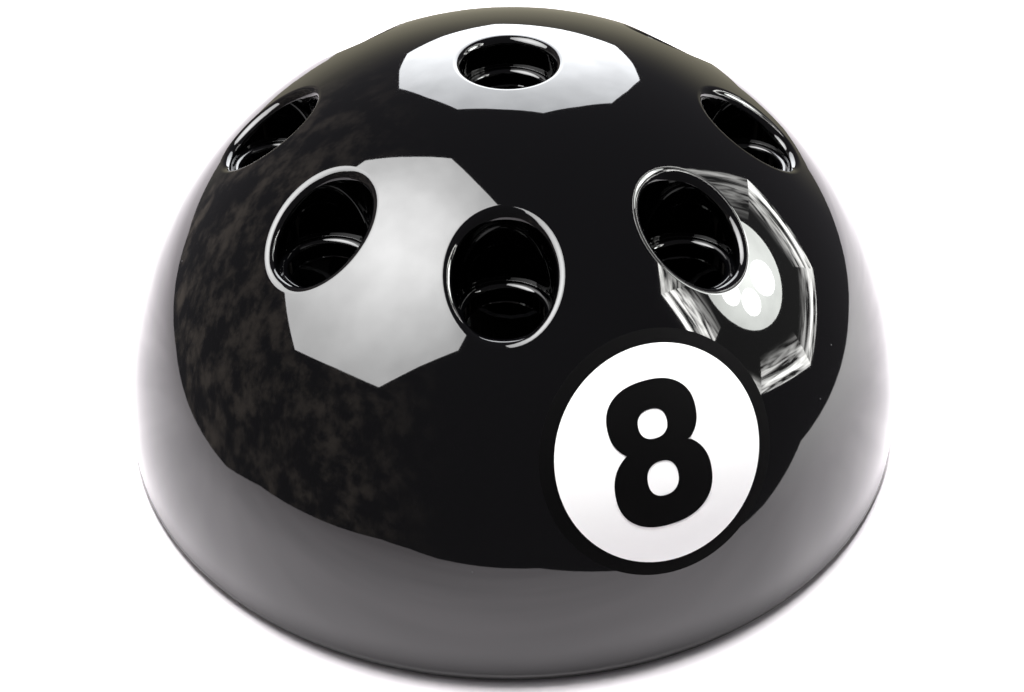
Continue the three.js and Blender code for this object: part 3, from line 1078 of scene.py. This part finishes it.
def softboxes():
    outline = softbox_outline(LEFT_RODS, 7, 0.915)
    material = glow("softbox_left", (1, 1, 1), 20, 9.5, SOFTBOX_GLOW_REACH)
    lit_panel("softbox_left", SOFTBOX_LEFT, (0.738, 0.127, -0.663), outline, material)
    outline = softbox_outline(BACK_RODS, 4, 0.945)
    material = glow("softbox_back", (0.95, 0.97, 1), 12, 8.5, SOFTBOX_GLOW_REACH)
    lit_panel("softbox_back", SOFTBOX_BACK, (0.161, -0.754, -0.637), outline, material)


def lamp_dish(centre, facing):
    """A lamp with a silvered eight-sided dish: streaky facets, and a bright front with brighter bulbs."""
    centre = Vector(centre)
    facing = Vector(facing).normalized()
    corners = ring_of(8, DISH_RADIUS, DISH_SPIN, (0, -0.02))
    inner = ring_of(8, DISH_FRONT * 0.98, DISH_SPIN)
    for k, (level, rise) in enumerate(zip(DISH_FACETS, DISH_RISES)):
        j = (k + 1) % 8
        facet = [inner[k], corners[k], corners[j], inner[j]]
        metal = silver(f"silver_{k}", level, rise, math.radians(DISH_SPIN) + TAU * (k + 0.5) / 8)
        lit_panel(f"dish_facet_{k}", centre - facing * 0.02, facing, facet, metal)
    milky = glow("dish_front", (0.97, 1, 0.96), 20, 14, DISH_FRONT)
    lit_panel("dish_front", centre, facing, ring_of(48, DISH_FRONT, 0), milky)
    for k, (angle, size) in enumerate(BULBS):
        bulb = ring_of(20, size, 0, clock_point(BULB_CIRCLE, math.radians(angle)))
        lit = glow(f"bulb_{k}", (1, 1, 1), 40, 40, 1)
        lit_panel(f"bulb_{k}", centre + facing * 0.01, facing, bulb, lit)


# ---- Light on everything dull, and the room -------------------------------------------------------------


def sun():
    """Broad soft light that the gloss doesn't reflect."""
    data = bpy.data.lights.new("sun", "SUN")
    data.energy = 11.0
    data.angle = math.radians(21)
    lamp = bpy.data.objects.new("sun", data)
    lamp.rotation_euler = (math.radians(-17.2), math.radians(-2), 0)
    lamp.visible_glossy = False
    bpy.context.scene.collection.objects.link(lamp)


def world():
    """White for the camera. The gloss reflects a dim room, brown low at the back and patchy at the left."""
    room = bpy.data.worlds.new("room")
    bpy.context.scene.world = room
    nodes = Nodes(room)
    nodes.tree.nodes.clear()
    where = nodes.add("ShaderNodeTexCoord").outputs["Generated"]
    split = nodes.parts(where)
    behind = nodes.ramp(split["Y"], 0.7, 0.98, kind="SMOOTHSTEP")
    low = nodes.ramp(split["Z"], 0.35, -0.1, kind="SMOOTHSTEP")
    left = nodes.ramp(split["X"], -0.25, -0.8, kind="SMOOTHSTEP")
    patches = nodes.ramp(nodes.noise(9.0, 6.0, 0.65, where), 0.42, 0.68, kind="SMOOTHSTEP")
    tint = nodes.mix(nodes.math("MULTIPLY", behind, low), (0.13, 0.125, 0.135, 1), (0.45, 0.42, 0.32, 1))
    tint = nodes.mix(nodes.math("MULTIPLY", left, patches), tint, (0.52, 0.45, 0.40, 1))
    dim = nodes.add("ShaderNodeBackground", Color=tint)
    white = nodes.add("ShaderNodeBackground", Color=(1.2, 1.2, 1.2, 1))
    path = nodes.add("ShaderNodeLightPath")
    either = nodes.add("ShaderNodeMixShader")
    nodes.feed(either.inputs[0], path.outputs["Is Camera Ray"])
    nodes.feed(either.inputs[1], dim.outputs[0])
    nodes.feed(either.inputs[2], white.outputs[0])
    nodes.add("ShaderNodeOutputWorld", Surface=either.outputs[0])


# ---- Camera ---------------------------------------------------------------------------------------------


def camera():
    """A view from the front, 40 degrees down, with a slight roll."""
    data = bpy.data.cameras.new("camera")
    data.sensor_width = 36.0
    data.lens = 54.99
    data.clip_start = 0.01
    eye = bpy.data.objects.new("camera", data)
    bpy.context.scene.collection.objects.link(eye)
    azimuth = math.radians(1.48)
    elevation = math.radians(40.05)
    roll = math.radians(-0.753)
    distance = 4.1271 * BALL
    target = Vector((0, 0, CENTRE_Z + 0.1411 * BALL))
    back = heading(azimuth, elevation)
    right = Vector((math.cos(azimuth), math.sin(azimuth), 0))
    up = back.cross(right)
    right_rolled = right * math.cos(roll) + up * math.sin(roll)
    up_rolled = up * math.cos(roll) - right * math.sin(roll)
    basis = Matrix((right_rolled, up_rolled, back)).transposed()
    eye.matrix_world = Matrix.Translation(target + back * distance) @ basis.to_4x4()
    bpy.context.scene.camera = eye


floor()
softboxes()
lamp_dish(LAMP_RIGHT, (-0.873, -0.128, -0.471))
sun()
world()
camera()
bpy.context.scene.view_settings.view_transform = "Standard"
